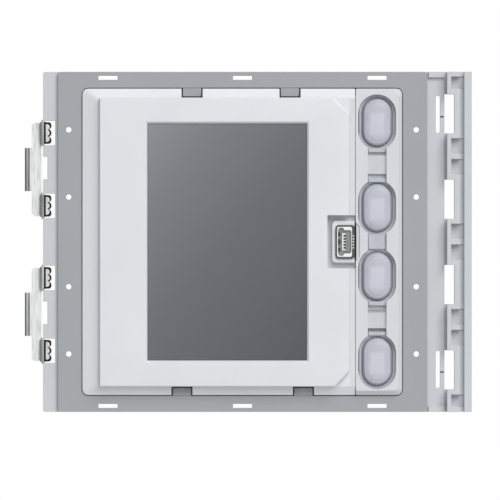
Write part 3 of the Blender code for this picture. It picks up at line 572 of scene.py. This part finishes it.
def build_bezel():
    """The raised display bezel with softened edges, and a sloped lip round its window."""
    x0, x1, front, _, z0, z1 = BEZEL

    def outline(inset):
        slant = inset * CUT_SLANT
        return [
            (x0 + inset, z0 + inset),
            (x1 - CUT_X - slant, z0 + inset),
            (x1 - inset, z0 + CUT_Z + slant),
            (x1 - inset, z1 - CUT_Z - slant),
            (x1 - CUT_X - slant, z1 - inset),
            (x0 + inset, z1 - inset),
        ]

    levels = [(outline(0), SURROUND_BACK)]
    for step in range(SOFT_EDGE_STEPS + 1):
        angle = math.radians(90 * step / SOFT_EDGE_STEPS)
        inset, drop = SOFT_EDGE * (1 - math.cos(angle)), SOFT_EDGE * (1 - math.sin(angle))
        levels.append((outline(inset), front + drop))
    bezel = new_object("display_surround", mesh_of("display_surround", [loft(*levels)]))
    left, right, glass_front, glass_back, low, high = GLASS

    def opening(margin):
        return rectangle(left - margin, right + margin, low - margin, high + margin)

    window = loft(
        (opening(WINDOW_GAP), SURROUND_BACK + 1),
        (opening(WINDOW_GAP), glass_front - 0.02),
        (opening(WINDOW_LIP), front - 0.02),
        (opening(WINDOW_LIP), front - 1),
    )
    carve(bezel, [window])
    carve(bezel, [box(RECESS_LEFT, RECESS_RIGHT, -9, 0, -RECESS_HALF, RECESS_HALF)])
    smooth(bezel.data, 28)
    show(bezel, WHITE, "module", "white_plastic", "display_bezel")
    pane = [box(left, right, glass_front, glass_back, low, high)]
    piece("display_window", pane, DISPLAY, "module", "display_glass", "display_glass", edge=0.08)


# ---------------------------------------------------------------- keys


def build_keys():
    """Domed silicone keys, each with the thin web that joins it to the mat."""
    levels = [(oval(0, 0, width, height), y) for width, height, y in KEY_FOOT]
    start = math.cos(math.radians(DOME_START))
    for step in range(DOME_STEPS + 1):
        angle = math.radians(DOME_START + (90 - DOME_START) * step / DOME_STEPS)
        inset = DOME_INSET * (start - math.cos(angle))
        section = oval(0, 0, DOME_WIDTH - inset, DOME_HEIGHT - inset)
        levels.append((section, DOME_BASE - DOME_RISE * math.sin(angle)))
    crown = DOME_WIDTH - DOME_INSET * start
    levels.append((oval(0, 0, crown - 0.12, CROWN_STRAIGHT + crown - 0.12), -4.93))
    levels.append((oval(0, 0, crown - 0.3, CROWN_STRAIGHT + crown - 0.3), -5.03))
    for share in CROWN_SHARES:
        section = oval(0, 0, crown * share, CROWN_STRAIGHT * share + crown * share)
        levels.append((section, -5.0 - 0.27 * (1 - share ** 2)))
    for number, name in enumerate(KEY_NAMES, start=1):
        x0, x1, _, _, z0, z1 = span(name)
        x, z = (x0 + x1) / 2, (z0 + z1) / 2
        key = new_object(f"push_{name}", mesh_of(f"push_{name}", [loft(*levels)], 50))
        key.location = (x * MM, 0, z * MM)
        show(key, KEY_RUBBER, f"push_key_{number}", "silicone", name)
        outer, inner = oval(x, z, *WEB_OUTER), oval(x, z, *WEB_INNER)
        section = loft((outer, -2.86), (inner, -3.22), (inner, -3.27), (outer, -2.91))
        web = new_object(f"key_web_{number}", ring_mesh(f"key_web_{number}", section, 40))
        web.data.materials.append(RUBBER)
        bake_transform(web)


# ---------------------------------------------------------------- USB socket


def build_usb():
    """A five-way socket: a shell, a bright stepped liner, and contacts on a grey tongue."""
    x0, x1, front, back, z0, z1 = SHELL
    x0, x1, z0, z1 = x0 + SHELL_INSET_X, x1 - SHELL_INSET_X, z0 + SHELL_INSET_Z, z1 - SHELL_INSET_Z
    can = prism(rounded(x0, x1, z0, z1, SHELL_CORNER), front, back)
    shell = new_object("usb_can", mesh_of("usb_can", [can]))
    bore = rounded(x0 + THIN_WALL, x1 - THICK_WALL, z0 + END_WALL, z1 - END_WALL, BORE_CORNER)
    carve(shell, [prism(bore, front - 1, back + 1)])
    round_edges(shell, 0.07)
    show(shell, DARK_STEEL, "module", "steel", "usb_shell")
    liner_outline = rounded(x0 + 0.34, x1 - 0.74, z0 + 0.39, z1 - 0.39, LINER_CORNER)
    liner_block = prism(liner_outline, front + 0.1, LINER_BACK)
    liner = new_object("usb_liner", mesh_of("usb_liner", [liner_block]))
    left, step, right = x0 + 0.62, x0 + 2.1, x1 - 0.98
    mouth = [
        (left, 3.3), (left, -3.3),
        (left + 0.45, -WIDE_HALF), (step - 0.2, -WIDE_HALF),
        (step + 0.25, -NARROW_HALF), (right - 0.35, -NARROW_HALF),
        (right, -2.75), (right, 2.75),
        (right - 0.35, NARROW_HALF), (step + 0.25, NARROW_HALF),
        (step - 0.2, WIDE_HALF), (left + 0.45, WIDE_HALF),
    ]
    carve(liner, [prism(mouth, front - 1, 5)])
    round_edges(liner, 0.06)
    show(liner, BRIGHT, "module", "steel")
    floor = front + 0.75
    tongue = [
        prism(rounded(step + 0.55, right - 0.22, -2.8, 2.8, 0.25), front + 0.3, floor + 0.1),
        prism(rounded(x0 + 0.55, x1 - 0.95, z0 + 0.55, z1 - 0.55, 0.3), floor, back),
    ]
    piece("usb_tongue", tongue, SOCKET_GREY, "module", "black_plastic", "usb_insert", edge=0.06)
    contact_z = [CONTACT_PITCH * (place - CONTACT_COUNT // 2) for place in range(CONTACT_COUNT)]
    rail = [box(step - 0.4, step + 0.6, front + 0.42, floor + 0.1, -RAIL_HALF, RAIL_HALF)]
    piece("usb_contact_rail", rail, BRIGHT, "module", "steel", edge=0.04)
    contacts = [box(step - 0.02, step + 0.58, front + 0.33, floor, z - CONTACT_HALF, z + CONTACT_HALF)
                for z in contact_z]
    piece("usb_contacts", contacts, BLACK, "module", "black_plastic", edge=0.04)
    tails = [box(x1 - 0.6, x1 - 0.22, front - 0.02, floor, z - TAIL_HALF, z + TAIL_HALF)
             for z in contact_z]
    piece("usb_tails", tails, BRIGHT, "module", "steel", edge=0.03)
    springs = [box(left + 0.02, left + 0.6, front + 0.4, floor + 0.1, z - half, z + half)
               for z, half in SPRINGS]
    piece("usb_springs", springs, BLACK, "module", "black_plastic", edge=0.05)
    left, right, collar_front, collar_back, low, high = span("usb_collar")
    foot = left_rounded(left, right, low, high, COLLAR_CORNER)
    crown = left_rounded(left + COLLAR_INSET, right, low + COLLAR_INSET, high - COLLAR_INSET, 1.0)
    block = loft((foot, collar_back), (foot, collar_front + COLLAR_SLOPE), (crown, collar_front))
    collar = new_object("usb_surround", mesh_of("usb_surround", [block]))
    gap = COLLAR_GAP
    passage = rounded(x0 - gap, x1 + gap, z0 - gap, z1 + gap, 0.88)
    carve(collar, [prism(passage, -9, 5)])
    smooth(collar.data, 28)
    show(collar, WHITE, "module", "white_plastic", "usb_collar")


# ---------------------------------------------------------------- latches


def strip(centre_line, thickness, low, high):
    """Sheet metal: a centre line in X and Y given thickness, from low to high along Z."""
    points = [Vector(point) for point in centre_line]
    runs = [(after - before).normalized() for before, after in zip(points, points[1:])]
    sides = ([], [])
    for index, point in enumerate(points):
        leaving = runs[min(index, len(runs) - 1)]
        along = (runs[max(index - 1, 0)] + leaving).normalized()
        normal = Vector((-along.y, along.x)) * (thickness / 2 / along.dot(leaving))
        sides[0].append(tuple(point + normal))
        sides[1].append(tuple(point - normal))
    return prism(sides[0] + sides[1][::-1], low, high, "Z")


def arc(x, y, radius, start, sweep, steps):
    """Points round a centre, from one angle through a sweep, both in degrees."""
    angles = (math.radians(start + sweep * step / steps) for step in range(steps + 1))
    return [(x + radius * math.cos(angle), y + radius * math.sin(angle)) for angle in angles]


def comb_edge(x, low, high, inset):
    """The toothed end of a knuckle's tail in X and Z, from low to high, moved in by an inset."""
    pitch = (high - low - 2 * inset) / TEETH
    edge = []
    for tooth in range(TEETH):
        for step in range(TOOTH_STEPS + 1):
            share = step / TOOTH_STEPS
            reach = TOOTH_ROOT + (TOOTH_TIP - TOOTH_ROOT) * math.sin(math.pi * share) ** 0.5 - inset
            edge.append((x + reach, low + inset + pitch * (tooth + TOOTH_GAP + 0.92 * share)))
    return edge


def build_latch(node, body, joint_name):
    """A sprung plate with toothed tails, and the rolls that wrap its pivot bars and stiffen its lip. Painted
    shade: black rims round the teeth, the rolls' sides and the lip's limbs, and a darker copy of the plate's
    steel on the rolls' fronts and the lip's faces.
    """
    x, y, z = (value / MM for value in JOINTS[joint_name]["pos_m"])
    front, back = y + SHEET_Y - SHEET / 2, y + SHEET_Y + SHEET / 2
    knuckles = [(z + side * KNUCKLE_OFFSET - KNUCKLE_HALF, z + side * KNUCKLE_OFFSET + KNUCKLE_HALF)
                for side in (1, -1)]
    plate = rounded(x - PLATE_LEFT, x - PLATE_RIGHT, z - PLATE_HALF, z + PLATE_HALF, PLATE_CORNER)
    arm_y = y + SHEET_Y + LIP_ARM_PROUD
    lip_arm = [(x - 2.8, arm_y), (x - 3.42, arm_y), (x - 3.55, y + 2.3)]
    lip_low, lip_high = z - LIP_HALF, z + LIP_HALF
    shapes = [prism(plate, front, back), strip(lip_arm, SHEET, lip_low, lip_high)]
    root, rim = x + TAIL_START, TOOTH_RIM
    for low, high in knuckles:
        outline = [(root, high - rim), (root, low + rim)] + comb_edge(x, low, high, rim)
        shapes.append(prism(outline, front - TAIL_PROUD, back - TAIL_PROUD))
    sheet_piece = new_object(f"{node}_plate", mesh_of(f"{node}_plate", shapes, 40))
    round_edges(sheet_piece, 0.05, 2)
    show(sheet_piece, LIT_PLATE_STEEL, body, "spring_steel", node)
    lip_roll = (x - LIP_X, y + LIP_Y, LIP_RADIUS)
    # Painted shade: black rims round the teeth, the rolls' sides and the lip's limbs.
    rims = []
    for low, high in knuckles:
        outline = [(root, low)] + comb_edge(x, low, high, 0.0) + [(root, high), (root, high - rim)]
        outline += comb_edge(x, low, high, rim)[::-1] + [(root, low + rim)]
        rims.append(prism(outline, front, back))
        for side in ROLL_SIDES:
            rims.append(strip(arc(x, y, ROLL_RADIUS, *side), SHEET, low, high))
    for limb in LIP_LIMBS:
        rims.append(strip(arc(*lip_roll, *limb), SHEET, lip_low, lip_high))
    shade_piece = new_object(f"{node}_teeth", mesh_of(f"{node}_teeth", rims, 40))
    show(shade_piece, SHADE_BLACK_STEEL, body, "spring_steel")
    # The rolls' fronts and the lip's faces take the darker copy of the plate's steel, as painted shade.
    rolls = [strip(arc(x, y, ROLL_RADIUS, *ROLL_FRONT), SHEET, low, high) for low, high in knuckles]
    for face in LIP_FACES:
        rolls.append(strip(arc(*lip_roll, *face), SHEET, lip_low, lip_high))
    roll_piece = new_object(f"{node}_rolls", mesh_of(f"{node}_rolls", rolls, 40))
    round_edges(roll_piece, 0.05, 2)
    show(roll_piece, SHADED_ROLL_STEEL, body, "spring_steel")


def build_latches():
    build_latch("latch_upper", "upper_latch", "upper_latch_hinge")
    build_latch("latch_lower", "lower_latch", "lower_latch_hinge")


# ---------------------------------------------------------------- rear


def build_rear():
    for name in ("link_socket_in", "link_socket_out"):
        keep_node(name, BLACK, 0.15)
        x0, x1, _, mouth, z0, z1 = span(name)
        x, z = (x0 + x1) / 2, (z0 + z1) / 2
        pins = []
        for place in range(PIN_COUNT):
            middle = x + PIN_PITCH * (place - (PIN_COUNT - 1) / 2)
            pins.append(box(middle - PIN_HALF, middle + PIN_HALF, mouth - PIN_ROOT, mouth - PIN_TIP,
                            z - PIN_HALF, z + PIN_HALF))
        piece(f"{name}_pins", pins, GOLD, "module", "steel", edge=0.05)
    keep_node("configurator_socket", FRAME_GREY, 0.15)


build_structure()
build_inside()
build_bezel()
build_keys()
build_usb()
build_latches()
build_rear()


# ---------------------------------------------------------------- stage, lights and camera


def build_stage():
    bm = bmesh.new()
    bmesh.ops.create_circle(bm, cap_ends=True, segments=96, radius=0.9)
    mesh = bpy.data.meshes.new("floor")
    bm.to_mesh(mesh)
    bm.free()
    floor = new_object("floor", mesh)
    floor.location = (0, 0, -0.1)
    floor.data.materials.append(moulded("floor_paint", (0.74, 0.74, 0.74), roughness=0.7))


def build_world():
    world = bpy.data.worlds.new("studio")
    bpy.context.scene.world = world
    world.use_nodes = True
    tree = world.node_tree
    background = tree.nodes["Background"]
    output = tree.nodes["World Output"]
    background.inputs["Color"].default_value = (1, 1, 1, 1)
    background.inputs["Strength"].default_value = 1.0
    ambient = tree.nodes.new("ShaderNodeBackground")
    ambient.inputs["Color"].default_value = (0.96, 0.98, 1.0, 1)
    ambient.inputs["Strength"].default_value = 0.285
    path = tree.nodes.new("ShaderNodeLightPath")
    mix = tree.nodes.new("ShaderNodeMixShader")
    tree.links.new(path.outputs["Is Camera Ray"], mix.inputs["Fac"])
    tree.links.new(ambient.outputs["Background"], mix.inputs[1])
    tree.links.new(background.outputs["Background"], mix.inputs[2])
    tree.links.new(mix.outputs["Shader"], output.inputs["Surface"])


def softbox(name, location, size, power):
    """A square lamp that faces the object."""
    light = bpy.data.lights.new(name, "AREA")
    light.size = size
    light.energy = power
    item = bpy.data.objects.new(name, light)
    bpy.context.scene.collection.objects.link(item)
    item.location = location
    item.rotation_euler = (-Vector(location)).to_track_quat("-Z", "Y").to_euler()


def build_camera():
    """Straight on, from far away, so that a millimetre on the face spans as much as in the photo."""
    view_width = 133.75
    distance = 2500.0
    data = bpy.data.cameras.new("camera")
    data.lens = data.sensor_width * distance / view_width
    data.clip_end = 20
    camera = bpy.data.objects.new("camera", data)
    bpy.context.scene.collection.objects.link(camera)
    camera.location = (2.0 * MM, (-4 - distance) * MM, -2.18 * MM)
    camera.rotation_euler = (math.radians(90), 0, 0)
    bpy.context.scene.camera = camera


build_stage()
build_world()
softbox("key", (1.6, -3.9, 3.1), 3.9, 220.0)
softbox("back_fill", (-0.5, 1.2, 0.8), 0.8, 6.0)
build_camera()
bpy.context.scene.view_settings.view_transform = "Standard"
